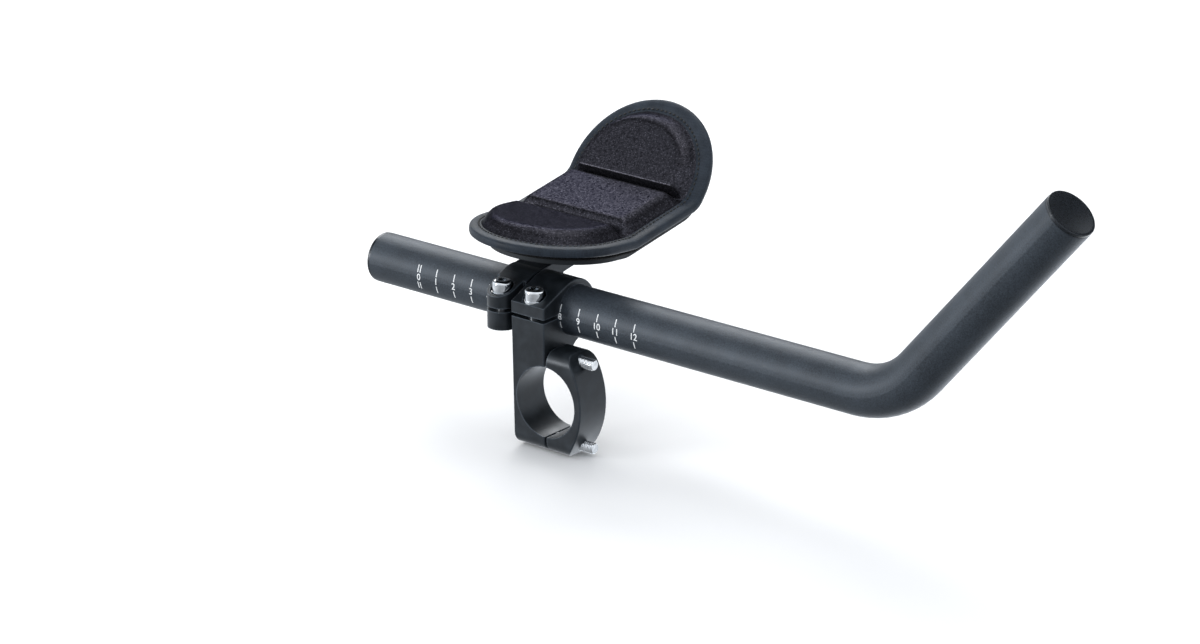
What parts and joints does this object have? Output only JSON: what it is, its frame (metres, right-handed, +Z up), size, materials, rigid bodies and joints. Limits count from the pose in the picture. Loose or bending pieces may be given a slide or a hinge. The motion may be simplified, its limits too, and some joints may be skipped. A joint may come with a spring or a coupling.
{
  "type": "aero handlebar extension",
  "caption": "Left-hand aero handlebar extension: a bent tube that slides in split clamps, a bar clamp with a screwed-on cap and a padded forearm cup on a side arm",
  "frame": {"origin": "On the handlebar's axis, in the middle of the handlebar clamp", "axes": "+X to the rider's right, which is inboard for this left-hand half; +Y forward along the straight tube; +Z up"},
  "size_m": [0.1187, 0.3659, 0.1618],
  "materials": {
    "tube_anodised": "sand-blasted, black anodised",
    "clamp_anodised": "satin, black anodised",
    "bolt_steel": "polished",
    "plug_plastic": "moulded, satin",
    "shell_plastic": "moulded, fine matt grain",
    "hook_tape": "woven hooks",
    "pad_knit": "speckled knit over foam",
    "binding_tape": "woven satin tape"
  },
  "bodies": {
    "mounting": {"handlebar_bracket": "clamp_anodised", "handlebar_clamp_cap": "clamp_anodised", "upper_clamp_bolt": "bolt_steel", "lower_clamp_bolt": "bolt_steel", "bracket_pinch_bolt": "bolt_steel", "bracket_pinch_washer": "bolt_steel", "armrest_clamp": "clamp_anodised", "armrest_pinch_bolt": "bolt_steel", "armrest_pinch_washer": "bolt_steel", "armrest_shell": "shell_plastic", "shell_screw_outer": "bolt_steel", "shell_screw_inner": "bolt_steel", "shell_washer_outer": "bolt_steel", "shell_washer_inner": "bolt_steel", "hook_tape_base": "hook_tape", "hook_tape_outer": "hook_tape", "hook_tape_inner": "hook_tape", "arm_pad": "pad_knit", "pad_binding": "binding_tape"},
    "extension": {"extension_tube": "tube_anodised", "grip_end_plug": "plug_plastic", "rear_end_plug": "plug_plastic"}
  },
  "joints": [
    {"name": "extension_slide", "type": "slide", "parent": "mounting", "child": "extension", "axis": [0, 1, 0], "range_m": [-0.0415, 0.0439]}
  ]
}
